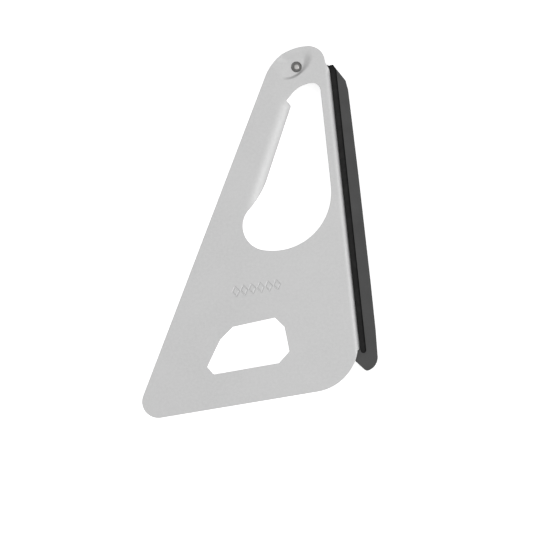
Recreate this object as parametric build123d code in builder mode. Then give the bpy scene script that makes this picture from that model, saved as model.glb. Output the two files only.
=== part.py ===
"""Hand-held pressed-steel opener with a hinged clamping lever.

A triangular sheet-steel body has a flange folded back along its right edge, a
teardrop hole with a curled lip for screw caps and a cut-out for crown caps. A
lever with a rubber-faced jaw turns on a rivet at the apex and closes against
the flange, so that a jar lid can be gripped between the two.

Millimetres. The tool lies on its back with its front face up (+Z), +Y points
along the flange towards the riveted apex and +X towards the lever. The origin
is the centre of the bounding box's bottom face. Outlines are drawn from the
rivet's axis, which stands at (pivot_x, pivot_y).
"""

import os
from math import asin, cos, radians, sin

from build123d import *

# Rivet axis in the part's frame
pivot_x = 26.7
pivot_y = 60.6

# Levels above the lowest plane
plate_front = 10.0
jaw_front = 8.5
flange_foot = 1.0

# Pressed body
sheet = 1.5
bend_radius = 2.2
flange_face = 12.75
left_lean = 27.0
left_offset = 9.93
base_rise = 3.33
base_point = (-36.95, -127.05)
toe_radius = 6.3
heel_radius = 18.8
heel_centre = (-6.3, -106.4)
shoulder_radius = 18.0
shoulder_along = -7.6
apex_radius = 6.2
apex_side = 11.15
flare_top = -1.0
flare_end = -4.5
blank_top = 12.0
blank_length = 145.0
blank_left = -80.0
clear = 1.0

# Flange ends
flange_end = -110.6
flange_start = -7.2
arm_gap_top = 7.3
flange_corner = 2.5
flange_cut = 30.0

# Teardrop hole
hole_right = 8.25
hole_bowl_radius = 22.6
hole_bowl_centre = (-14.35, -46.9)
hole_heel_radius = 9.3
hole_heel_turn = -15.0
hole_sweep_radius = 35.0
hole_corner_radius = 3.2
hole_top = -6.8
hole_crest = (-0.1, -7.9)
lip_lean = 24.4
lip_edge_low = (-16.1, -42.5)
lip_edge_high = (-3.6, -14.8)
hole_shoulder = (-5.2, -12.7)
lip_radius = 7.0
lip_turn = 46.0
lip_tail = 12.5

# Crown-cap cut-out, clockwise from its upper right corner
crown_cutout = [
    (-18.5, -95.1),
    (-15.2, -99.0),
    (-14.3, -108.6),
    (-18.8, -112.6),
    (-44.2, -114.3),
    (-46.4, -111.2),
    (-40.3, -101.3),
    (-34.9, -96.9),
]

# Pressed recess round the rivet
recess_depth = 1.0
recess_radius = 9.35
recess_centre = (-4.3, 5.2)
recess_left = -4.2
recess_wall = 0.8
recess_reach = 20.0

# Hinge
rivet_shank = 1.45
rivet_hole = 1.5
rivet_head = 3.2
rivet_head_height = 1.2
rivet_tail = 2.1
rivet_tail_height = 0.55
washer_bore = 1.6
washer_radius = 3.4
washer_height = 0.45
spring_radius = 3.6
spring_height = 0.55
spring_sheet = 0.35
side_play = 0.05

# Lever
core_height = 2.5
eye_radius = 5.2
grip_face = 12.95
jaw_face = 15.15
chamfer_low = -2.3
jaw_shoulder = (18.3, -7.2)
jaw_neck = (18.9, -11.0)
jaw_waist = (19.35, -42.0)
jaw_back = (19.65, -85.0)
nose_back = (19.65, -113.4)
nose_curve = (18.6, -117.2)
nose_tip = (15.4, -119.15)
nose_round = (14.55, -119.05)
grip_corner = 14.1
grip_top = -0.6
grip_low = 0.9
grip_high = 8.2
strip_end = -111.15
nose_side = [
    (13.8, -118.6),
    (11.5, -116.15),
    (11.12, -115.3),
    (11.2, -113.9),
    (11.65, -112.7),
    (12.0, -111.7),
    (12.4, -111.0),
]
jaw_edge = 0.5
long_edge = 20.0
arm_high = -0.9
arm_low = -6.3
tang_left = 15.6
tang_right = 17.4
tang_corner = (14.6, -2.5)
tang_top = -7.3
core_end = -104.0

# Stack at the hinge, from the sheet down
plate_back = plate_front - sheet
seat = plate_back - recess_depth
core_top = seat - washer_height - side_play
core_low = core_top - core_height
head_top = core_low - side_play - spring_height
tail_top = seat + sheet + rivet_tail_height

hinge_axis = Axis((pivot_x, pivot_y, 0), (0, 0, 1))


def level(z):
    """The plan plane at height z, with the rivet's axis as its origin."""
    return Plane((pivot_x, pivot_y, z))


def across(y):
    """A plane square to the flange at distance y from the rivet: x is X, y is Z."""
    return Plane((pivot_x, pivot_y + y, 0), x_dir=(1, 0, 0), z_dir=(0, -1, 0))


def beside(x):
    """A plane along the flange at distance x from the rivet: x is Y, y is Z."""
    return Plane((pivot_x + x, pivot_y, 0), x_dir=(0, 1, 0), z_dir=(1, 0, 0))


def crossing(point_a, direction_a, point_b, direction_b):
    """Where two straight lines in the plan meet."""
    gap = point_b - point_a
    spread = direction_a.X * direction_b.Y - direction_a.Y * direction_b.X
    run = (gap.X * direction_b.Y - gap.Y * direction_b.X) / spread
    return point_a + direction_a * run


# Directions of the straight edges in the plan
left_normal = Vector(-cos(radians(left_lean)), sin(radians(left_lean)))
left_up = Vector(sin(radians(left_lean)), cos(radians(left_lean)))
base_right = Vector(cos(radians(base_rise)), sin(radians(base_rise)))
base_normal = Vector(base_right.Y, -base_right.X)
lip_up = Vector(sin(radians(lip_lean)), cos(radians(lip_lean)))
lip_right = Vector(lip_up.Y, -lip_up.X)

# Apex: a wide shoulder arc tangent to the left edge, then a small arc to the right side
shoulder_centre = left_normal * (left_offset - shoulder_radius) + left_up * shoulder_along
shoulder_start = shoulder_centre + left_normal * shoulder_radius
apex_turn = asin((apex_side - apex_radius - shoulder_centre.X) / (shoulder_radius - apex_radius))
apex_out = Vector(sin(apex_turn), cos(apex_turn))
apex_centre = shoulder_centre + apex_out * (shoulder_radius - apex_radius)
shoulder_end = shoulder_centre + apex_out * shoulder_radius
apex_end = apex_centre + Vector(apex_radius, 0)

# Toe and heel: the round corners at the two ends of the base
base_start = Vector(*base_point)
toe_corner = crossing(left_normal * left_offset, left_up, base_start, base_right)
toe_half = radians(90 - left_lean - base_rise) / 2
toe_run = toe_radius * cos(toe_half) / sin(toe_half)
toe_high = toe_corner + left_up * toe_run
toe_low = toe_corner + base_right * toe_run
heel_low = Vector(*heel_centre) + base_normal * heel_radius
heel_drop = heel_centre[1] - flange_end
heel_high = (heel_centre[0] + (heel_radius**2 - heel_drop**2) ** 0.5, flange_end)

# Teardrop: the bowl's and heel's arcs are tangent where they meet
bowl_centre = Vector(*hole_bowl_centre)
bowl_start = bowl_centre + Vector(hole_bowl_radius, 0)
drop_out = Vector(0, -1).rotate(Axis.Z, hole_heel_turn)
drop_centre = bowl_centre + drop_out * (hole_bowl_radius - hole_heel_radius)
drop_start = bowl_centre + drop_out * hole_bowl_radius
sweep_centre = Vector(*lip_edge_low) - lip_right * hole_sweep_radius
sweep_gap = sweep_centre - drop_centre
drop_end = drop_centre + sweep_gap.normalized() * hole_heel_radius
hole_shoulder_top = (hole_right - hole_corner_radius, hole_top)
hole_corner_end = (hole_right, hole_top - hole_corner_radius)


with BuildPart() as body_plate:
    # Bent sheet: a flat front with the flange folded back along the right edge
    with BuildSketch(across(blank_top)):
        with BuildLine():
            FilletPolyline(
                (blank_left, plate_front),
                (flange_face, plate_front),
                (flange_face, flange_foot),
                radius=bend_radius,
            )
            offset(amount=sheet, side=Side.RIGHT)
        make_face()
    extrude(amount=blank_length)

    # Outline of the blank
    with BuildSketch(level(0)):
        with BuildLine():
            Line(toe_high, shoulder_start)
            RadiusArc(shoulder_start, shoulder_end, shoulder_radius)
            RadiusArc(shoulder_end, apex_end, apex_radius)
            Polyline(
                apex_end,
                (apex_side, flare_top),
                (flange_face, flare_end),
                (flange_face + clear, flare_end - clear),
                (flange_face + clear, flange_end),
                heel_high,
            )
            RadiusArc(heel_high, heel_low, heel_radius)
            Line(heel_low, toe_low)
            RadiusArc(toe_low, toe_high, toe_radius)
        make_face()
    extrude(amount=plate_front, mode=Mode.INTERSECT)

    # The flange stops short of the lever's arm at the top and of the corner at the heel
    with BuildSketch(beside(flange_face - sheet - clear)):
        with Locations((flange_start, 0)):
            Rectangle(flange_cut, arm_gap_top, align=(Align.MIN, Align.MIN))
        with Locations((flange_end, 0)):
            Rectangle(flange_cut, plate_front - bend_radius, align=(Align.MAX, Align.MIN))
    extrude(amount=sheet + 2 * clear, mode=Mode.SUBTRACT)
    fillet(body_plate.edges().filter_by(Axis.X).group_by(Axis.Z)[0], radius=flange_corner)

    # Strip of the hole's left side that is curled back into the lip
    lip_width = lip_radius * sin(radians(lip_turn))
    lip_low = Vector(*lip_edge_low) - lip_right * lip_width - lip_up * lip_tail
    lip_high = Vector(*lip_edge_high) - lip_right * lip_width
    with BuildSketch(level(plate_back)):
        with BuildLine():
            Polyline(
                lip_low,
                lip_high,
                lip_high + lip_right * (lip_width + clear),
                lip_low + lip_right * (lip_width + clear),
                close=True,
            )
        make_face()
    extrude(amount=sheet, mode=Mode.SUBTRACT)

    # Lip: the sheet curls back along a straight line
    lip_start = Vector(pivot_x, pivot_y) + lip_high
    with BuildSketch(Plane(lip_start, x_dir=lip_right, z_dir=-lip_up)):
        with BuildLine():
            CenterArc((0, plate_front - lip_radius), lip_radius, 90 - lip_turn, lip_turn)
            offset(amount=-sheet, side=Side.LEFT)
        make_face()
    extrude(amount=(lip_high - lip_low).length)

    # Teardrop hole
    with BuildSketch(level(0)):
        with BuildLine():
            Line(hole_corner_end, bowl_start)
            RadiusArc(bowl_start, drop_start, hole_bowl_radius)
            RadiusArc(drop_start, drop_end, hole_heel_radius)
            RadiusArc(drop_end, lip_edge_low, -hole_sweep_radius)
            Polyline(lip_edge_low, lip_edge_high, hole_shoulder)
            ThreePointArc(hole_shoulder, hole_crest, hole_shoulder_top)
            RadiusArc(hole_shoulder_top, hole_corner_end, hole_corner_radius)
        make_face()
    extrude(amount=plate_front, mode=Mode.SUBTRACT)

    # Crown-cap cut-out
    with BuildSketch(level(plate_back)):
        with BuildLine():
            Polyline(*crown_cutout, close=True)
        make_face()
    extrude(amount=sheet, mode=Mode.SUBTRACT)

    # Pressed recess: the sheet round the rivet steps back by recess_depth
    for grow, low, mode in ((recess_wall, seat, Mode.ADD), (0, seat + sheet, Mode.SUBTRACT)):
        with BuildSketch(level(low)):
            with Locations(recess_centre):
                Circle(recess_radius + grow)
            with BuildLine():
                Polyline(
                    (recess_left - grow, recess_reach),
                    (recess_reach, recess_reach),
                    (recess_reach, -recess_reach),
                    (recess_left - grow, -recess_reach),
                    close=True,
                )
            make_face(mode=Mode.INTERSECT)
            with BuildLine():
                Line(toe_high, shoulder_start)
                RadiusArc(shoulder_start, shoulder_end, shoulder_radius)
                RadiusArc(shoulder_end, apex_end, apex_radius)
                Polyline(apex_end, (apex_side, -recess_reach), toe_high)
            make_face(mode=Mode.INTERSECT)
        extrude(amount=recess_depth, mode=mode)
    with BuildSketch(level(seat)):
        Circle(rivet_hole)
    extrude(amount=sheet, mode=Mode.SUBTRACT)

with BuildPart() as pivot_rivet:
    # Rivet: domed head behind, shank, low domed end in front
    with BuildSketch(Plane((pivot_x, pivot_y, 0), x_dir=(1, 0, 0), z_dir=(0, -1, 0))):
        with BuildLine():
            TangentArc((0, head_top - rivet_head_height), (rivet_head, head_top), tangent=(1, 0))
            Polyline(
                (rivet_head, head_top),
                (rivet_shank, head_top),
                (rivet_shank, seat + sheet),
                (rivet_tail, seat + sheet),
            )
            TangentArc((0, tail_top), (rivet_tail, seat + sheet), tangent=(1, 0))
            Line((0, tail_top), (0, head_top - rivet_head_height))
        make_face()
    revolve(axis=hinge_axis)

with BuildPart() as pivot_washer:
    # Flat washer that keeps the lever's eye clear of the body's back
    with BuildSketch(level(seat - washer_height)):
        Circle(washer_radius)
        Circle(washer_bore, mode=Mode.SUBTRACT)
    extrude(amount=washer_height)

with BuildPart() as spring_washer:
    # Dished washer under the rivet's head: its spring holds the lever where it is put
    with BuildSketch(Plane((pivot_x, pivot_y, 0), x_dir=(1, 0, 0), z_dir=(0, -1, 0))):
        with BuildLine():
            Polyline(
                (washer_bore, head_top),
                (washer_bore, head_top + spring_sheet),
                (spring_radius, head_top + spring_height),
                (spring_radius, head_top + spring_height - spring_sheet),
                close=True,
            )
        make_face()
    revolve(axis=hinge_axis)

with BuildPart() as lever_core:
    # Flat steel blank: eye, arm behind the body's apex and tang inside the jaw
    with BuildSketch(level(core_low)):
        Circle(eye_radius)
        with BuildLine():
            Polyline(
                (0, eye_radius),
                (grip_face, arm_high),
                tang_corner,
                (tang_right, tang_top),
                (tang_right, core_end),
                (tang_left, core_end),
                (tang_left, arm_low),
                (flange_face, arm_low),
                (0, -eye_radius),
                close=True,
            )
        make_face()
        Circle(rivet_hole, mode=Mode.SUBTRACT)
    extrude(amount=core_height)

with BuildPart() as jaw_body:
    # Moulded jaw: a slim bar with a cut-back top and a nose that hooks under the flange
    with BuildSketch(level(0)):
        with BuildLine():
            Polyline(
                (jaw_face, strip_end),
                (jaw_face, chamfer_low),
                jaw_shoulder,
                jaw_neck,
                jaw_waist,
                jaw_back,
                nose_back,
            )
            ThreePointArc(nose_back, nose_curve, nose_tip)
            ThreePointArc(nose_tip, nose_round, nose_side[0])
            Polyline(*nose_side, (grip_face, strip_end))
            ThreePointArc(
                (grip_face, strip_end),
                ((grip_face + jaw_face) / 2, strip_end - (jaw_face - grip_face) / 2),
                (jaw_face, strip_end),
            )
        make_face()
    extrude(amount=jaw_front)
    long_edges = jaw_body.edges().filter_by(lambda edge: edge.length > long_edge)
    fillet(long_edges.group_by(Axis.X)[-1], radius=jaw_edge)
    add(lever_core.part, mode=Mode.SUBTRACT)

with BuildPart() as grip_strip:
    # Rubber strip along the jaw's gripping side, notched round the arm
    with BuildSketch(level(grip_low)):
        with BuildLine():
            Polyline(
                (grip_face, grip_top),
                (grip_corner, grip_top),
                (jaw_face, chamfer_low),
                (jaw_face, strip_end),
            )
            ThreePointArc(
                (jaw_face, strip_end),
                ((grip_face + jaw_face) / 2, strip_end - (jaw_face - grip_face) / 2),
                (grip_face, strip_end),
            )
            Line((grip_face, strip_end), (grip_face, grip_top))
        make_face()
    extrude(amount=grip_high - grip_low)
    add(lever_core.part, mode=Mode.SUBTRACT)

body_plate.part.label = "body_plate"
pivot_rivet.part.label = "pivot_rivet"
pivot_washer.part.label = "pivot_washer"
spring_washer.part.label = "spring_washer"
lever_core.part.label = "lever_core"
jaw_body.part.label = "jaw_body"
grip_strip.part.label = "grip_strip"

os.makedirs("parts", exist_ok=True)
export_step(body_plate.part, "parts/body_plate.step")
export_step(pivot_rivet.part, "parts/pivot_rivet.step")
export_step(pivot_washer.part, "parts/pivot_washer.step")
export_step(spring_washer.part, "parts/spring_washer.step")
export_step(lever_core.part, "parts/lever_core.step")
export_step(jaw_body.part, "parts/jaw_body.step")
export_step(grip_strip.part, "parts/grip_strip.step")
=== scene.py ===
"""Looks of the pressed-steel opener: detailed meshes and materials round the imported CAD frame."""

import math

import bpy
import numpy as np
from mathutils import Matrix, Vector, geometry


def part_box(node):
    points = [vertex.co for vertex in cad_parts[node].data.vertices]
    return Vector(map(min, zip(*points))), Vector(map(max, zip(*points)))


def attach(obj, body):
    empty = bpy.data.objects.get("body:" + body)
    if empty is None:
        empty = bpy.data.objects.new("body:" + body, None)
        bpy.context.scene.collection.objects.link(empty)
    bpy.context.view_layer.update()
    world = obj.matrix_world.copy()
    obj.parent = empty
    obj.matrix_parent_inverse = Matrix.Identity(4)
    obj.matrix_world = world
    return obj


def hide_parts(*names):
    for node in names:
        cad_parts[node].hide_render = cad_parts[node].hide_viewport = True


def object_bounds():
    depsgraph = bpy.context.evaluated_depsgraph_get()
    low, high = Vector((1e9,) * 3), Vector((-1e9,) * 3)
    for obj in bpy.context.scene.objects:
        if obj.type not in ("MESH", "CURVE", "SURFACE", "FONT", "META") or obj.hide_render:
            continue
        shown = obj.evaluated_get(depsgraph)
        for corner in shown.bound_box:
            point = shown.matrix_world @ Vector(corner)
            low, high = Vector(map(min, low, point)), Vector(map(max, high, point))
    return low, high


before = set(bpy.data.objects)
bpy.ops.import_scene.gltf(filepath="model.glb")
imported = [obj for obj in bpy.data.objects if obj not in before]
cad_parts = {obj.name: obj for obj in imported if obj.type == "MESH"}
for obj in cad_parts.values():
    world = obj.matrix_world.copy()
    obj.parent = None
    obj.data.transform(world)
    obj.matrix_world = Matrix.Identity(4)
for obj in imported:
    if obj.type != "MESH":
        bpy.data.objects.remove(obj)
cad_low, cad_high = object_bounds()

# All shapes below are drawn in millimetres from the rivet's axis and moved to the row frame at the end.
MM = 0.001
rivet_low, rivet_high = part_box("pivot_rivet")
plate_low, plate_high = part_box("body_plate")
jaw_low, jaw_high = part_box("jaw_body")
strip_low, strip_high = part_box("grip_strip")
washer_low, washer_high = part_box("pivot_washer")
spring_low, spring_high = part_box("spring_washer")
pivot = (rivet_low + rivet_high) / 2

# Pressing
SHEET = 1.5
FRONT = plate_high.z / MM
FLANGE_FOOT = plate_low.z / MM
BEND_RADIUS = 2.2
FLANGE_FACE = 12.75
BEND_START = FLANGE_FACE - BEND_RADIUS
FRONT_ROUND = 0.22
BACK_ROUND = 0.12


# ---------------------------------------------------------------- outlines

def direction(degrees):
    """Unit vector at an angle from +X."""
    return np.array([math.cos(math.radians(degrees)), math.sin(math.radians(degrees))])


def arc(centre, radius, start, end, step=0.6):
    """Points round an arc between two angles in degrees, both ends included."""
    count = max(2, math.ceil(abs(math.radians(end - start)) * radius / step))
    return [
        np.array(centre) + radius * direction(start + (end - start) * k / count)
        for k in range(count + 1)
    ]


def three_point_arc(first, middle, last, step=0.35):
    """Points round the arc through three points, turning clockwise."""
    first, middle, last = (np.array(p, float) for p in (first, middle, last))
    sides = 2 * np.array([middle - first, last - first])
    centre = np.linalg.solve(sides, [middle @ middle - first @ first, last @ last - first @ first])
    start, end = angle_of(first, centre), angle_of(last, centre)
    return arc(centre, np.linalg.norm(first - centre), start, end - 360 if end > start else end, step)


def angle_of(point, centre):
    """Angle in degrees of a point seen from a centre."""
    return math.degrees(math.atan2(point[1] - centre[1], point[0] - centre[0]))


def round_corner(before, corner, after, radius, step=0.3):
    """Points of the arc that rounds a corner between two straight runs."""
    before, corner, after = (np.array(p, float) for p in (before, corner, after))
    into, out = corner - before, after - corner
    into, out = into / np.linalg.norm(into), out / np.linalg.norm(out)
    turn = math.acos(np.clip(into @ out, -1, 1))
    setback = radius * math.tan(turn / 2)
    side = np.sign(into[0] * out[1] - into[1] * out[0])
    centre = corner - into * setback + side * radius * np.array([-into[1], into[0]])
    first = angle_of(corner - into * setback, centre)
    return arc(centre, radius, first, first + side * math.degrees(turn), step)


def rounded(points, radius):
    """A closed polygon with its corners rounded."""
    found = []
    for k, point in enumerate(points):
        found += round_corner(points[k - 1], point, points[(k + 1) % len(points)], radius)
    return found


def divided(points, step):
    """An open run of points with its long straight stretches divided; the last point is left out."""
    found = []
    for a, b in zip(points, points[1:]):
        a, b = np.array(a, float), np.array(b, float)
        length = np.linalg.norm(b - a)
        if length < 1e-4:
            continue
        parts = max(1, math.ceil(length / step))
        found += [a + (b - a) * k / parts for k in range(parts)]
    return found


def filled_in(points, step=1.4):
    """A closed outline with its long straight stretches divided."""
    return np.array(divided(points + points[:1], step))


def smooth(value, low, high):
    """Smooth step from 0 at low to 1 at high; low may be the larger."""
    t = np.clip((np.asarray(value, float) - low) / (high - low), 0, 1)
    return t * t * (3 - 2 * t)


# ---------------------------------------------------------------- shape of the pressing

LEFT_LEAN, LEFT_OFFSET = 27.0, 9.93
BASE_RISE, BASE_POINT = 3.33, np.array([-36.95, -127.05])
TOE_RADIUS = 6.3
HEEL_RADIUS, HEEL_CENTRE = 18.8, np.array([-6.3, -106.4])
SHOULDER_RADIUS, SHOULDER_ALONG = 18.0, -7.6
APEX_RADIUS, APEX_SIDE = 6.2, 11.15
FLANGE_END, FLANGE_START, FLANGE_CORNER = -110.6, -7.2, 2.5
ARM_GAP = 13.5
FLARE_FADE = (-4.6, 1.2)
RECESS_DEPTH, RECESS_RADIUS, RECESS_CENTRE = 1.0, 9.35, (-4.3, 5.2)
WALL_HALF_WIDTH, WALL_SPREAD, WALL_SPREADS_OVER = 0.6, 1.2, (-55, -15)
FLOOR_SLOPE, FLOOR_FALL = (0.94, 0.34), (-8.0, -1.8)
RECESS_TOP_LOSS, RECESS_TOP_FADE = 0.9, (2.0, 6.5)

LIP_LEAN, LIP_RADIUS, LIP_TURN = 24.4, 7.0, 46.0
LIP_WIDTH = LIP_RADIUS * math.sin(math.radians(LIP_TURN))
LIP_STOP = math.radians(LIP_TURN + 12)
LIP_EDGE_LOW, LIP_EDGE_HIGH = np.array([-16.1, -42.5]), np.array([-3.6, -14.8])
LIP_FADE = (-8.0, -16.0)
LIP_TOP_FADE = (4.0, -1.5)
LIP_REACH = 9.0

left_normal = direction(180 - LEFT_LEAN)
left_up = direction(90 - LEFT_LEAN)
base_right = direction(BASE_RISE)
lip_up = direction(90 - LIP_LEAN)
lip_right = direction(-LIP_LEAN)
lip_line = LIP_EDGE_HIGH - lip_right * LIP_WIDTH


def flange_reach():
    """How far the unfolded blank runs past the bend's start."""
    return BEND_RADIUS * math.pi / 2 + FRONT - BEND_RADIUS - FLANGE_FOOT


def lip_curve(along):
    """Curvature of the lip at a distance up its line from the lip's top end."""
    length = np.linalg.norm(LIP_EDGE_HIGH - LIP_EDGE_LOW)
    fade = smooth(along, LIP_FADE[1] - length, LIP_FADE[0] - length) * smooth(along, *LIP_TOP_FADE)
    return fade / LIP_RADIUS


def bend_curve(v):
    """Curvature of the flange's bend at height v: it dies out at the apex."""
    return smooth(v, 0.8, -3.8) / BEND_RADIUS


def recess(x, y):
    """Depth of the pressed recess round the rivet: a wall on its right, a floor that rises to its left."""
    radius = np.hypot(x - RECESS_CENTRE[0], y - RECESS_CENTRE[1])
    facing = np.degrees(np.arctan2(y - RECESS_CENTRE[1], x - RECESS_CENTRE[0]))
    half_width = WALL_HALF_WIDTH + WALL_SPREAD * smooth(facing, *WALL_SPREADS_OVER)
    wall = 1 - smooth((radius - RECESS_RADIUS) / half_width, -1, 1)
    floor = smooth(FLOOR_SLOPE[0] * x + FLOOR_SLOPE[1] * y, *FLOOR_FALL)
    top = 1 - RECESS_TOP_LOSS * smooth(y, *RECESS_TOP_FADE)
    return RECESS_DEPTH * wall * floor * top


def form(blank):
    """Folds points of the flat blank into the shape of the pressing's front surface."""
    u, v = blank[:, 0].copy(), blank[:, 1].copy()
    z = np.full(len(u), FRONT)
    # curled lip of the teardrop hole
    across = (u - lip_line[0]) * lip_right[0] + (v - lip_line[1]) * lip_right[1]
    along = (u - lip_line[0]) * lip_up[0] + (v - lip_line[1]) * lip_up[1]
    curve = np.maximum(lip_curve(along), 1e-6)
    inside = (across > 0) & (across < LIP_REACH)
    turn = np.minimum(across * curve, LIP_STOP)
    moved = np.sin(turn) / curve
    u = np.where(inside, u + (moved - across) * lip_right[0], u)
    v = np.where(inside, v + (moved - across) * lip_right[1], v)
    z = np.where(inside, z - (1 - np.cos(turn)) / curve, z)
    # flange
    past = u - BEND_START
    curve = np.maximum(bend_curve(v), 1e-6)
    turn = np.minimum(np.maximum(past, 0) * curve, math.pi / 2)
    straight = np.maximum(past - (math.pi / 2) / curve, 0)
    u = np.where(past > 0, BEND_START + np.sin(turn) / curve, u)
    z = np.where(past > 0, z - (1 - np.cos(turn)) / curve - straight, z)
    z = z - recess(u, v)
    return np.stack([u, v, z], 1)


def unform_lip(point):
    """Blank position of a point given as it looks from the front, near the lip."""
    gap = np.array(point) - lip_line
    across, along = gap @ lip_right, gap @ lip_up
    curve = max(float(lip_curve(along)), 1e-6)
    if across <= 0 or across > LIP_WIDTH + 0.1 or along > LIP_TOP_FADE[0]:
        return np.array(point)
    flat = math.asin(min(across * curve, math.sin(LIP_STOP))) / curve
    return np.array(point) + (flat - across) * lip_right


def unform_bend(point):
    """Blank position of a point given as it looks from the front, near the flange's bend."""
    x, y = point
    if x <= BEND_START:
        return np.array(point)
    curve = max(float(bend_curve(y)), 1e-6)
    return np.array([BEND_START + math.asin(min((x - BEND_START) * curve, 1)) / curve, y])


def plate_outline():
    """The blank's outer edge, counter-clockwise from the toe."""
    shoulder = left_normal * (LEFT_OFFSET - SHOULDER_RADIUS) + left_up * SHOULDER_ALONG
    reach = SHOULDER_RADIUS - APEX_RADIUS
    lean = math.degrees(math.asin((APEX_SIDE - APEX_RADIUS - shoulder[0]) / reach))
    apex = shoulder + reach * direction(90 - lean)
    corner = np.linalg.solve(
        np.stack([left_up, -base_right], 1), BASE_POINT - left_normal * LEFT_OFFSET
    )[0] * left_up + left_normal * LEFT_OFFSET
    half = math.radians(90 - LEFT_LEAN - BASE_RISE) / 2
    bisector = (left_up + base_right) / np.linalg.norm(left_up + base_right)
    toe = corner + bisector * TOE_RADIUS / math.sin(half)
    heel_low = BASE_RISE - 90
    heel_high = math.degrees(math.asin((FLANGE_END - HEEL_CENTRE[1] - 0.4) / HEEL_RADIUS))
    outer = BEND_START + flange_reach()
    heel = [unform_bend(p) for p in arc(HEEL_CENTRE, HEEL_RADIUS, heel_low, heel_high)]
    flare = [(12.6 + 0.2 * k, FLANGE_END - 0.35 + 0.12 * k) for k in range(3)]
    near, half_way, nook_radius = 13, -60, 0.8
    foot = round_corner((near, FLANGE_END), (outer, FLANGE_END), (outer, half_way), FLANGE_CORNER)
    head = round_corner((outer, half_way), (outer, FLANGE_START), (near, FLANGE_START), FLANGE_CORNER)
    inner = round_corner((outer, FLANGE_START), (ARM_GAP, FLANGE_START), (ARM_GAP, 0), nook_radius)
    rise = [
        (ARM_GAP - (ARM_GAP - APEX_SIDE) * float(smooth(v, *FLARE_FADE)), v)
        for v in np.arange(-4.4, 1.1, 0.4)
    ]
    crown = arc(apex, APEX_RADIUS, 0, 90 - lean)
    crown += arc(shoulder, SHOULDER_RADIUS, 90 - lean, 180 - LEFT_LEAN)[1:]
    low = arc(toe, TOE_RADIUS, 180 - LEFT_LEAN, 270 + BASE_RISE)
    points = heel + flare + foot + head + inner + rise + crown + low
    return filled_in([np.array(p, float) for p in points])


def teardrop_outline():
    """The screw-cap hole, clockwise from the top of its straight right side."""
    right, top, corner = 8.25, -6.8, 3.2
    bowl, bowl_radius, heel_radius = np.array([-14.35, -46.9]), 22.6, 9.3
    heel_turn = -105
    drop = bowl + direction(heel_turn) * (bowl_radius - heel_radius)
    sweep_radius = 35.0
    meet = angle_of(LIP_EDGE_LOW - lip_right * sweep_radius, drop)
    points = arc(bowl, bowl_radius, 0, heel_turn) + arc(drop, heel_radius, heel_turn, meet - 360)[1:]
    chord = LIP_EDGE_LOW - points[-1]
    rise = math.sqrt(sweep_radius**2 - chord @ chord / 4)
    sweep = (LIP_EDGE_LOW + points[-1]) / 2 + rise * np.array([-chord[1], chord[0]]) / np.linalg.norm(chord)
    lower = arc(sweep, sweep_radius, angle_of(points[-1], sweep), angle_of(LIP_EDGE_LOW, sweep))[1:]
    tip = round_corner(LIP_EDGE_LOW, LIP_EDGE_HIGH, (-5.4, -12.4), 0.9)
    nook = round_corner(LIP_EDGE_HIGH, (-5.2, -12.7), (-4.0, -10.4), 0.4)
    crest, crest_radius = (5.3, -18.3), 11.5
    ceiling = arc(crest, crest_radius, 137.5, 92)
    edge = round_corner((2, top), (right, top), (right, -20), corner)
    lip = [unform_lip(p) for p in divided(points[-1:] + lower + tip + nook + ceiling, 0.7)]
    return filled_in(points[:-1] + lip + ceiling[-1:] + edge)


def crown_outline():
    """The crown-cap cut-out, clockwise."""
    corner_radius = 0.4
    points = [(-18.5, -95.1), (-15.2, -99.0), (-14.3, -108.6), (-18.8, -112.6),
              (-44.2, -114.3), (-46.4, -111.2), (-40.3, -101.3), (-34.9, -96.9)]
    return filled_in(rounded(points, corner_radius), 1.2)


# ---------------------------------------------------------------- mesh building

def unit(vectors):
    """The same vectors at length 1."""
    return vectors / np.linalg.norm(vectors, axis=1)[:, None]


def outward(loop):
    """Normals of a closed loop that point away from the material on its left, longer at sharp corners."""
    ahead = np.roll(loop, -1, 0) - loop
    ahead /= np.linalg.norm(ahead, axis=1)[:, None]
    behind = np.roll(ahead, 1, 0)
    normal = np.stack([(ahead + behind)[:, 1], -(ahead + behind)[:, 0]], 1)
    normal /= np.linalg.norm(normal, axis=1)[:, None]
    cosine = (normal * np.stack([ahead[:, 1], -ahead[:, 0]], 1)).sum(1)
    return normal / np.maximum(cosine, 0.5)[:, None]


def inside_and_near(points, loops):
    """Which points lie in the material between the loops, and how far each is from the nearest edge."""
    inside = np.zeros(len(points), bool)
    near = np.full(len(points), np.inf)
    for loop in loops:
        for a, b in zip(loop, np.roll(loop, -1, 0)):
            crosses = (a[1] > points[:, 1]) != (b[1] > points[:, 1])
            if crosses.any():
                x = a[0] + (points[:, 1] - a[1]) * (b[0] - a[0]) / (b[1] - a[1] if b[1] != a[1] else 1e-12)
                inside ^= crosses & (points[:, 0] < x)
            t = np.clip(((points - a) @ (b - a)) / max((b - a) @ (b - a), 1e-12), 0, 1)
            near = np.minimum(near, np.linalg.norm(points - a - t[:, None] * (b - a), axis=1))
    return inside, near


def grid(low, high, step, lean=0.0):
    """Staggered grid points over a box, turned by an angle about the box's centre."""
    low, high = np.array(low, float), np.array(high, float)
    rows = np.arange(low[1], high[1], step * 0.87)
    columns = np.arange(low[0], high[0], step)
    points = np.array([(x + (k % 2) * step / 2, y) for k, y in enumerate(rows) for x in columns])
    centre = (low + high) / 2
    c, s = direction(lean)
    return (points - centre) @ np.array([[c, s], [-s, c]]) + centre


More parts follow.
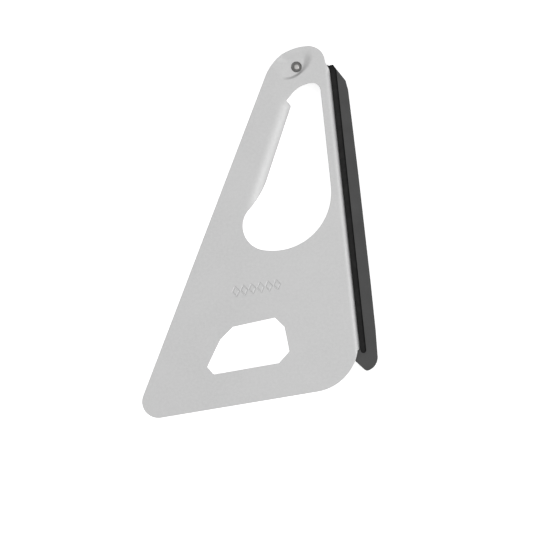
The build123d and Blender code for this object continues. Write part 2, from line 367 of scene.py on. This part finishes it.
def without(points, others, clearance):
    """Drops the points that fall within a clearance of the finer points."""
    if not len(others):
        return points
    cells = {}
    for p in others:
        cells.setdefault((int(p[0] // clearance), int(p[1] // clearance)), []).append(p)
    kept = []
    for p in points:
        i, j = int(p[0] // clearance), int(p[1] // clearance)
        close = [q for a in (-1, 0, 1) for b in (-1, 0, 1) for q in cells.get((i + a, j + b), [])]
        if all((p[0] - q[0]) ** 2 + (p[1] - q[1]) ** 2 > clearance * clearance for q in close):
            kept.append(p)
    return np.array(kept) if kept else np.zeros((0, 2))


def band(lower, upper):
    """Quads between two closed rings of point numbers."""
    size = len(lower)
    return [(lower[k], upper[k], upper[(k + 1) % size], lower[(k + 1) % size]) for k in range(size)]


def sheet_mesh(name, loops, inner, shape, thickness, front_round, back_round, engraving=None):
    """A closed sheet: the outline loops and inner points are triangulated flat, formed by shape(),
    and given a back at the sheet's thickness and rounded rims."""
    offsets = [outward(loop) for loop in loops]
    rims = [loop - n * front_round for loop, n in zip(loops, offsets)]
    inside, near = inside_and_near(inner, rims)
    inner = inner[inside & (near > 0.12)]
    flat = np.concatenate([*rims, inner])
    edges, start = [], 0
    for rim in rims:
        edges += [(start + k, start + (k + 1) % len(rim)) for k in range(len(rim))]
        start += len(rim)
    made = geometry.delaunay_2d_cdt([Vector(p) for p in flat], edges, [], 0, 1e-5, True)
    flat_out = np.array([v[:] for v in made[0]])
    faces = np.array([tuple(f) for f in made[2]])
    faces = faces[inside_and_near(flat_out[faces].mean(1), rims)[0]].tolist()
    index_of = {source: k for k, sources in enumerate(made[3]) for source in sources}

    def surface(points):
        """Position, normal and two tangents of the formed front surface."""
        e = 0.02
        over = (shape(points + (e, 0)) - shape(points - (e, 0))) / (2 * e)
        up = (shape(points + (0, e)) - shape(points - (0, e))) / (2 * e)
        return shape(points), unit(np.cross(over, up)), over, up

    position, normal, over, up = surface(flat_out)
    front, front_normal = position.copy(), normal.copy()
    if engraving is not None:
        e = 0.05
        front -= normal * engraving(flat_out)[:, None]
        for tangent, step in ((over, (e, 0)), (up, (0, e))):
            slope = (engraving(flat_out + step) - engraving(flat_out - step)) / (2 * e)
            front_normal += tangent * slope[:, None]
    back = position - normal * thickness
    vertices, rim_mark = [front, back], [np.zeros(len(front)), np.zeros(len(back))]
    normals = [unit(front_normal), -normal]
    count = len(front)
    total = 2 * count
    polygons = []
    for f in faces:
        a, b, c = (flat_out[k] for k in f[:3])
        ordered = f if (b[0] - a[0]) * (c[1] - a[1]) - (b[1] - a[1]) * (c[0] - a[0]) > 0 else f[::-1]
        polygons.append(tuple(ordered))
        polygons.append(tuple(count + k for k in reversed(ordered)))
    # rows of the rim from front to back: inset, depth, and the normal's outward and upward parts
    rows = []
    for a in np.radians([22.5, 45, 67.5, 90]):
        c, s = math.cos(a), math.sin(a)
        rows.append((front_round * (1 - s), front_round * (1 - c), s, c))
    rows.append((0, (front_round + thickness - back_round) / 2, 1, 0))
    for a in np.radians([0, 45, 90]):
        c, s = math.cos(a), math.sin(a)
        rows.append((back_round * (1 - c), thickness - back_round * (1 - s), c, -s))
    start = 0
    for loop, n, rim in zip(loops, offsets, rims):
        size = len(loop)
        ring = [index_of[start + k] for k in range(size)]
        last = [count + k for k in ring]
        previous = ring
        for inset, depth, outwards, upwards in rows:
            base, base_normal, over, up = surface(loop - n * inset)
            out = unit(over * n[:, :1] + up * n[:, 1:])
            vertices.append(base - base_normal * depth)
            normals.append(unit(out * outwards + base_normal * upwards))
            rim_mark.append(np.full(size, 1.0 if depth < thickness / 3 else 0.4))
            ring_now = list(range(total, total + size))
            total += size
            polygons += band(previous, ring_now)
            previous = ring_now
        polygons += band(previous, last)
        start += size
    return piece_from(name, np.concatenate(vertices), polygons,
                      np.concatenate(rim_mark), np.concatenate(normals))


def piece_from(name, vertices, polygons, mark, normals=None):
    """A mesh object in the row frame from millimetre points about the rivet's axis."""
    metres = np.array(vertices) * MM + np.array([pivot.x, pivot.y, 0])
    mesh = bpy.data.meshes.new(name)
    mesh.from_pydata(metres.tolist(), [], [list(p) for p in polygons])
    mesh.validate()
    mesh.polygons.foreach_set("use_smooth", [True] * len(mesh.polygons))
    mesh.attributes.new("rim", "FLOAT", "POINT").data.foreach_set("value", np.asarray(mark, np.float32))
    mesh.update()
    if normals is not None:
        mesh.normals_split_custom_set_from_vertices(normals.tolist())
    piece = bpy.data.objects.new(name, mesh)
    bpy.context.scene.collection.objects.link(piece)
    if normals is None:
        weighted = piece.modifiers.new("face_weighted_normals", "WEIGHTED_NORMAL")
        weighted.weight = 60
    return piece


def slab(name, outline, low, high, rounding):
    """A flat bar of one outline between two heights, with rounded edges."""
    loop = filled_in(outline, 1.2)
    inner = grid(loop.min(0), loop.max(0), 1.0)
    return sheet_mesh(name, [loop], inner, lambda p: np.column_stack([p, np.full(len(p), high)]),
                      high - low, rounding, rounding)


def lathe(name, profile, painted_groove_shade=(), segments=72):
    """A turned piece about the rivet's axis from (radius, height) points, each with its own amount of
    painted groove shade.
    """
    vertices, polygons, rings = [], [], []
    for radius, height in profile:
        if radius < 1e-6:
            rings.append([len(vertices)] * segments)
            vertices.append((0, 0, height))
            continue
        rings.append(list(range(len(vertices), len(vertices) + segments)))
        for k in range(segments):
            a = 2 * math.pi * k / segments
            vertices.append((radius * math.cos(a), radius * math.sin(a), height))
    closed = profile[0][0] > 1e-6
    pairs = list(zip(rings, rings[1:])) + ([(rings[-1], rings[0])] if closed else [])
    for lower, upper in pairs:
        for k in range(segments):
            corner = [lower[k], lower[(k + 1) % segments], upper[(k + 1) % segments], upper[k]]
            distinct = list(dict.fromkeys(corner))
            if len(distinct) > 2:
                polygons.append(tuple(distinct))
    # Each ring's painted shade value goes into the rim attribute, which the turned-steel material darkens
    # by.
    mark = np.zeros(len(vertices))
    for ring, value in zip(rings, painted_groove_shade):
        mark[ring] = value
    return piece_from(name, vertices, polygons, mark)


# ---------------------------------------------------------------- materials

def new_material(name):
    """An empty node material with its Principled shader."""
    material = bpy.data.materials.new(name)
    material.use_nodes = True
    nodes, links = material.node_tree.nodes, material.node_tree.links
    return material, nodes, links, nodes["Principled BSDF"]


def noise(nodes, links, scale, detail=3.0, roughness=0.5, stretch=(1, 1, 1), turn=0.0):
    """Object-space noise, its scale in features per metre."""
    where = nodes.new("ShaderNodeTexCoord")
    mapping = nodes.new("ShaderNodeMapping")
    mapping.inputs["Scale"].default_value = stretch
    mapping.inputs["Rotation"].default_value = (0, 0, turn)
    links.new(where.outputs["Object"], mapping.inputs["Vector"])
    texture = nodes.new("ShaderNodeTexNoise")
    texture.inputs["Scale"].default_value = scale
    texture.inputs["Detail"].default_value = detail
    texture.inputs["Roughness"].default_value = roughness
    links.new(mapping.outputs["Vector"], texture.inputs["Vector"])
    return texture.outputs["Fac"]


def spread(nodes, links, source, low, high, from_low=0.3, from_high=0.7):
    """Maps a noise value onto a range."""
    node = nodes.new("ShaderNodeMapRange")
    node.inputs["From Min"].default_value = from_low
    node.inputs["From Max"].default_value = from_high
    node.inputs["To Min"].default_value = low
    node.inputs["To Max"].default_value = high
    links.new(source, node.inputs["Value"])
    return node.outputs["Result"]


def mixed(nodes, links, factor, first, second):
    """A colour between two colours by a factor."""
    node = nodes.new("ShaderNodeMix")
    node.data_type = "RGBA"
    for socket, value in ((node.inputs["A"], first), (node.inputs["B"], second)):
        if isinstance(value, tuple):
            socket.default_value = (*value, 1)
        else:
            links.new(value, socket)
    links.new(factor, node.inputs["Factor"])
    return node.outputs["Result"]


def bump(nodes, links, height, distance, strength=1.0, before=None):
    """A bump from a height value; distance is in metres."""
    node = nodes.new("ShaderNodeBump")
    node.inputs["Strength"].default_value = strength
    node.inputs["Distance"].default_value = distance
    links.new(height, node.inputs["Height"])
    if before is not None:
        links.new(before, node.inputs["Normal"])
    return node.outputs["Normal"]


def attribute(nodes, name):
    """A value stored on the mesh's points."""
    node = nodes.new("ShaderNodeAttribute")
    node.attribute_name = name
    return node.outputs["Fac"]


def grey(value):
    """A neutral colour."""
    return value, value, value


def pressed_steel():
    """Satin tumbled steel: fine even grain, soft mottling, polished edges and a few hairline scratches."""
    material, nodes, links, shader = new_material("satin_pressed_steel")
    mottle = noise(nodes, links, 60, 4, 0.6)
    speckle = noise(nodes, links, 900, 3, 0.7)
    grain = noise(nodes, links, 2600, 2, 0.5)
    scratch = noise(nodes, links, 900, 1, 0.4, stretch=(1, 0.02, 1), turn=0.5)
    worn = spread(nodes, links, attribute(nodes, "rim"), 0, 0.5, 0, 1)
    base = mixed(nodes, links, spread(nodes, links, mottle, 0, 1), grey(0.645), grey(0.675))
    base = mixed(nodes, links, spread(nodes, links, speckle, 0, 0.5), base, grey(0.75))
    base = mixed(nodes, links, spread(nodes, links, scratch, 0, 0.25, 0.72, 0.85), base, grey(0.76))
    base = mixed(nodes, links, worn, base, grey(0.72))
    links.new(base, shader.inputs["Base Color"])
    shader.inputs["Metallic"].default_value = 0.75
    links.new(spread(nodes, links, grain, 0.42, 0.54), shader.inputs["Roughness"])
    fine = bump(nodes, links, grain, 0.00002, 0.35)
    links.new(bump(nodes, links, mottle, 0.0004, 0.12, fine), shader.inputs["Normal"])
    return material


def turned_steel(name, colour, dark, roughness):
    """Bright turned or headed steel with darker tarnished patches, and painted shade that darkens its
    grooves nearly to black.
    """
    material, nodes, links, shader = new_material(name)
    patch = noise(nodes, links, 500, 3, 0.6)
    grain = noise(nodes, links, 5000, 2, 0.5)
    base = mixed(nodes, links, spread(nodes, links, patch, 0, 1), colour, dark)
    # Painted shade: points marked in the mesh's rim attribute (the rivet's ring groove and its button edge)
    # are darkened towards near-black.
    groove = spread(nodes, links, attribute(nodes, "rim"), 0, 0.85, 0, 1)
    links.new(mixed(nodes, links, groove, base, grey(0.05)), shader.inputs["Base Color"])
    shader.inputs["Metallic"].default_value = 0.95
    links.new(spread(nodes, links, grain, roughness, roughness + 0.12), shader.inputs["Roughness"])
    links.new(bump(nodes, links, grain, 0.00001, 0.3), shader.inputs["Normal"])
    return material


def blackened_steel():
    """Blackened strip steel with a slight oily sheen."""
    material, nodes, links, shader = new_material("blackened_steel")
    patch = noise(nodes, links, 300, 4, 0.6)
    grain = noise(nodes, links, 4000, 2, 0.5)
    patchy = spread(nodes, links, patch, 0, 1)
    base = mixed(nodes, links, patchy, (0.012, 0.012, 0.013), (0.03, 0.029, 0.028))
    links.new(base, shader.inputs["Base Color"])
    shader.inputs["Metallic"].default_value = 0.6
    links.new(spread(nodes, links, grain, 0.4, 0.55), shader.inputs["Roughness"])
    links.new(bump(nodes, links, grain, 0.00001, 0.4), shader.inputs["Normal"])
    return material


def moulded_grey():
    """Dark grey moulding: eroded-steel mould grain, slightly worn pale at the edges."""
    material, nodes, links, shader = new_material("moulded_dark_grey")
    cloud = noise(nodes, links, 120, 3, 0.5)
    grain = noise(nodes, links, 3200, 3, 0.6)
    worn = spread(nodes, links, attribute(nodes, "rim"), 0, 0.35, 0, 1)
    base = mixed(nodes, links, spread(nodes, links, cloud, 0, 1), grey(0.058), grey(0.072))
    base = mixed(nodes, links, worn, base, grey(0.11))
    links.new(base, shader.inputs["Base Color"])
    links.new(spread(nodes, links, grain, 0.5, 0.68), shader.inputs["Roughness"])
    links.new(bump(nodes, links, grain, 0.00004, 0.5), shader.inputs["Normal"])
    return material


def black_rubber():
    """Matte black rubber with a fine talc bloom."""
    material, nodes, links, shader = new_material("black_rubber")
    bloom = noise(nodes, links, 400, 5, 0.65)
    grain = noise(nodes, links, 5200, 3, 0.6)
    base = mixed(nodes, links, spread(nodes, links, bloom, 0, 1, 0.45, 0.75), grey(0.012), grey(0.022))
    links.new(base, shader.inputs["Base Color"])
    shader.inputs["Specular IOR Level"].default_value = 0.3
    links.new(spread(nodes, links, grain, 0.72, 0.9), shader.inputs["Roughness"])
    links.new(bump(nodes, links, grain, 0.00003, 0.5), shader.inputs["Normal"])
    return material


def dress(piece, material):
    """Gives a piece one material in every slot."""
    piece.data.materials.clear()
    piece.data.materials.append(material)
    return piece


def place(piece, material, body, slot, *nodes):
    """Finishes a piece: its material, body and the CAD nodes that it stands for; slot is not used."""
    dress(piece, material)
    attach(piece, body)
    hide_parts(*nodes)
    return piece


# ---------------------------------------------------------------- pieces

STRIP_END = -111.15
STRIP_TOP = -0.6
SHANK_BORE = 1.6


def diamonds(points):
    """Depth of the stamped ornament: a row of six small diamonds, parallel to the base."""
    centre, pitch, half_wide, half_high = np.array([-24.4, -83.0]), 3.2, 1.25, 1.9
    gap = points - centre
    a = gap @ base_right
    b = gap @ np.array([-base_right[1], base_right[0]])
    cell = np.clip(np.round(a / pitch - 0.5), -3, 2) + 0.5
    away = np.abs(np.abs(a - cell * pitch) / half_wide + np.abs(b) / half_high - 1)
    slope = math.hypot(1 / half_wide, 1 / half_high)
    return 0.16 * smooth(away / slope, 0.34, 0.05) * smooth(np.abs(b), half_high + 0.3, half_high - 0.1)


def make_plate():
    """The pressing: blank with its three outlines, folded, curled and recessed."""
    loops = [plate_outline(), teardrop_outline(), crown_outline()]
    ornament = grid((-34.6, -85.4), (-14.2, -80.6), 0.16, BASE_RISE)
    apex = grid((-10, -8), (12, 8), 0.25)
    bend = grid((BEND_START - 0.6, -118), (BEND_START + BEND_RADIUS * 1.6, -2), 0.5)
    flange = grid((BEND_START + BEND_RADIUS * 1.6, -113), (BEND_START + flange_reach() + 1, -5), 1.4)
    lip = grid((-27, -56), (2, -10), 0.5, 90 - LIP_LEAN)
    across = (lip - lip_line) @ lip_right
    lip = lip[(across > -1.2) & (across < LIP_REACH)]
    fine = np.concatenate([ornament, apex, without(lip, apex, 0.3), bend, flange])
    coarse = without(grid((-75, -130), (13, 10), 1.8), fine, 0.9)
    shape = sheet_mesh("pressed_body", loops, np.concatenate([fine, coarse]), form, SHEET,
                       FRONT_ROUND, BACK_ROUND, diamonds)
    return place(shape, pressed_steel(), "body", "pressed_steel", "body_plate")


def make_jaw():
    """The moulded jaw bar with its cut-back top and hooked nose."""
    face, grip = (strip_high.x - pivot.x) / MM, (strip_low.x - pivot.x) / MM
    middle, heel_gap = (grip + face) / 2, 0.07
    heel = arc(HEEL_CENTRE, HEEL_RADIUS + heel_gap, -25.6, -13.4)
    nose = round_corner((13.8, -118.75), (10.5, -115.0), heel[0], 0.5) + heel
    nose.append(np.array((grip, STRIP_END + 0.4)))
    pocket = arc((middle, STRIP_END), (face - grip) / 2, 180, 360, 0.25)
    back = [(face, -2.3), (18.3, -7.2), (18.9, -11.0), (19.35, -42.0), (19.65, -85.0), (19.6, -104.0)]
    top = round_corner((face, STRIP_END), back[0], back[1], 0.08)
    top += round_corner(back[0], back[1], back[2], 0.8)
    toe = three_point_arc((19.3, -113.6), (18.3, -117.0), (15.2, -119.15))
    toe += three_point_arc((15.2, -119.15), (14.4, -119.1), (13.8, -118.75))[1:]
    outline = pocket + top + [np.array(p) for p in back[2:]] + toe + nose
    bar = slab("jaw_bar", outline[::-1], jaw_low.z / MM, jaw_high.z / MM, 0.12)
    return place(bar, moulded_grey(), "lever", "moulded_grey", "jaw_body")


def make_strip():
    """The rubber strip: an extruded section with lengthwise grooves in its gripping side."""
    face = (strip_high.x - pivot.x) / MM
    grip = FLANGE_FACE + 0.03
    low, high = strip_low.z / MM, strip_high.z / MM
    grooves, depth, corner, cut, margin = 5, 0.45, 0.3, 14.1, 0.5
    edge = 0.09
    pitch = (high - low - 2 * margin) / grooves
    groove = ((0.12, 0), (0.32, 0), (0.5, 0), (0.62, 0.8), (0.75, 1), (0.88, 0.8))
    section = [(grip, low + corner)]
    for k in range(grooves):
        z = low + margin + k * pitch
        section += [(grip + depth * deep, z + up * pitch) for up, deep in groove]
    section += [(grip, high - 0.42), (grip, high - corner), (grip + edge, high - edge)]
    section += [(grip + corner, high), (cut, high), (face, high), (face, low), (cut, low)]
    section += [(grip + corner, low), (grip + edge, low + edge)]
    middle, radius = (grip + face) / 2, (face - grip) / 2
    heads = [STRIP_TOP - 1.6 * max(x - cut, 0) - 0.4 * max(grip + corner - x, 0) for x, z in section]
    lengthwise, round_end = np.linspace(0, 1, 61), np.radians(range(15, 90, 15))
    vertices = [
        (x, head + (STRIP_END - head) * t, z) for t in lengthwise for (x, z), head in zip(section, heads)
    ]
    vertices += [
        (middle + (x - middle) * math.cos(a), STRIP_END - radius * math.sin(a), z)
        for a in round_end for x, z in section
    ]
    size = len(section)
    rings = [list(range(k, k + size)) for k in range(0, len(vertices), size)]
    polygons = [
        (upper[k], upper[(k + 1) % size], lower[(k + 1) % size], lower[k])
        for lower, upper in zip(rings, rings[1:]) for k in range(size)
    ]
    polygons += [tuple(reversed(rings[0])), tuple(rings[-1])]
    strip = piece_from("rubber_strip", vertices, polygons, np.zeros(len(vertices)))
    return place(strip, black_rubber(), "lever", "black_rubber", "grip_strip")


def make_rivet():
    """Rivet with a domed head behind and a formed end in front: a bright button in a groove darkened with
    painted shade.
    """
    low, top = rivet_low.z / MM, rivet_high.z / MM
    head_radius, shank_radius, button_radius, button_height = 3.2, 1.45, 1.12, 0.43
    under = spring_low.z / MM
    seat = top - 0.55
    shoulder = under - 0.1
    quarter = np.radians(range(0, 91, 10))
    dome = [(button_radius * math.sin(a), seat + 0.12 + button_height * math.cos(a)) for a in quarter]
    ring = [(1.16, 0.06), (1.25, 0.03), (1.45, 0.02), (1.65, 0.04), (1.8, 0.12), (1.92, 0.16), (2.03, 0.12),
            (2.1, -0.02)]
    ring = [(radius, seat + height) for radius, height in ring]
    shank = [(shank_radius, seat - 0.3), (shank_radius, under)]
    head = [(head_radius - 0.05, under), (head_radius, shoulder)]
    cap = [(head_radius * math.cos(a), shoulder - (shoulder - low) * math.sin(a)) for a in quarter[1:]]
    # Painted shade for each profile point: the button's edge and the ring groove round it are darkened as
    # if in shadow.
    painted_groove_shade = [0, 0, 0, 0, 0, 0, 0.1, 0.3, 0.5, 0.6, 0.7, 0.8, 0.9, 1, 0.9, 0.8, 0.9, 1]
    rivet = lathe("rivet", dome + ring + shank + head + cap, painted_groove_shade)
    steel = turned_steel("rivet_steel", (0.62, 0.61, 0.6), (0.42, 0.41, 0.4), 0.16)
    return place(rivet, steel, "body", "rivet_steel", "pivot_rivet")


def make_washers():
    """The flat spacing washer and the dished spring washer."""
    low, high = washer_low.z / MM, washer_high.z / MM
    rim, edge = (washer_high.x - washer_low.x) / 2 / MM, 0.08
    flat = [(SHANK_BORE, low + edge), (SHANK_BORE + edge, low), (rim - edge, low), (rim, low + edge),
            (rim, high - edge), (rim - edge, high), (SHANK_BORE + edge, high), (SHANK_BORE, high - edge)]
    washer = lathe("spacing_washer", flat)
    steel = turned_steel("washer_steel", grey(0.5), (0.38, 0.37, 0.36), 0.3)
    place(washer, steel, "body", "rivet_steel", "pivot_washer")

    low, high, rim, sheet = spring_low.z / MM, spring_high.z / MM, 3.6, 0.35
    dished = [(SHANK_BORE, low), (3.55, high - sheet), (rim, high - sheet + 0.1), (rim, high - 0.05),
              (3.5, high), (SHANK_BORE, low + sheet)]
    spring = lathe("spring_washer_ring", dished)
    steel = turned_steel("spring_steel", (0.32, 0.31, 0.3), grey(0.2), 0.35)
    place(spring, steel, "body", "spring_steel", "spring_washer")


def dress_core():
    """The lever's steel core keeps its CAD shape, with its edges broken."""
    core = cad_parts["lever_core"]
    dress(core, blackened_steel())
    edge = core.modifiers.new("broken_edges", "BEVEL")
    edge.width, edge.segments, edge.limit_method = 0.15 * MM, 2, "ANGLE"
    edge.angle_limit = math.radians(40)


# ---------------------------------------------------------------- stage

def make_stage():
    """A pale floor, soft light from the upper right and an even white surround."""
    half = 3.0
    corners = [(-half, -half, 0), (half, -half, 0), (half, half, 0), (-half, half, 0)]
    mesh = bpy.data.meshes.new("floor")
    mesh.from_pydata(corners, [], [(0, 1, 2, 3)])
    floor = bpy.data.objects.new("floor", mesh)
    floor.location.z = cad_low.z - 0.0005
    bpy.context.scene.collection.objects.link(floor)
    material, nodes, links, shader = new_material("pale_floor")
    shader.inputs["Base Color"].default_value = (0.9, 0.9, 0.9, 1)
    shader.inputs["Roughness"].default_value = 0.8
    shader.inputs["Emission Color"].default_value = (1, 1, 1, 1)
    shader.inputs["Emission Strength"].default_value = 0.6
    mesh.materials.append(material)

    world = bpy.data.worlds.new("studio")
    bpy.context.scene.world = world
    world.use_nodes = True
    surround = world.node_tree.nodes["Background"]
    surround.inputs["Color"].default_value = (1, 1, 1, 1)
    surround.inputs["Strength"].default_value = 0.55

    centre = (cad_low + cad_high) / 2
    for name, offset, size, power in (
        ("key_right", Vector((0.8, -0.4, 0.6)), 0.8, 1.9),
        ("overhead", Vector((0.25, 0.05, 1.1)), 1.8, 3.9),
    ):
        light = bpy.data.lights.new(name, "AREA")
        light.size, light.energy = size, power
        lamp = bpy.data.objects.new(name, light)
        lamp.location = centre + offset
        lamp.rotation_euler = (-offset).to_track_quat("-Z", "Y").to_euler()
        bpy.context.scene.collection.objects.link(lamp)


def make_camera():
    """Straight down on the front face, with the flange leaning slightly left of upright."""
    lean = math.radians(-6.1)
    aim_from_pivot = Vector((-16.2, -79.4, FRONT))
    centre = Vector((pivot.x, pivot.y, 0)) + aim_from_pivot * MM
    height, view_width = 1.3, 212.7 * MM
    data = bpy.data.cameras.new("camera")
    data.sensor_width = 36.0
    data.lens = data.sensor_width * height / view_width
    camera = bpy.data.objects.new("camera", data)
    camera.location = centre + Vector((0, 0, height))
    camera.rotation_euler = (0, 0, lean)
    data.clip_start, data.clip_end = 0.01, 10
    bpy.context.scene.collection.objects.link(camera)
    bpy.context.scene.camera = camera


make_plate()
make_jaw()
make_strip()
make_rivet()
make_washers()
dress_core()
make_stage()
make_camera()
bpy.context.scene.view_settings.view_transform = "Standard"

bpy.context.view_layer.update()
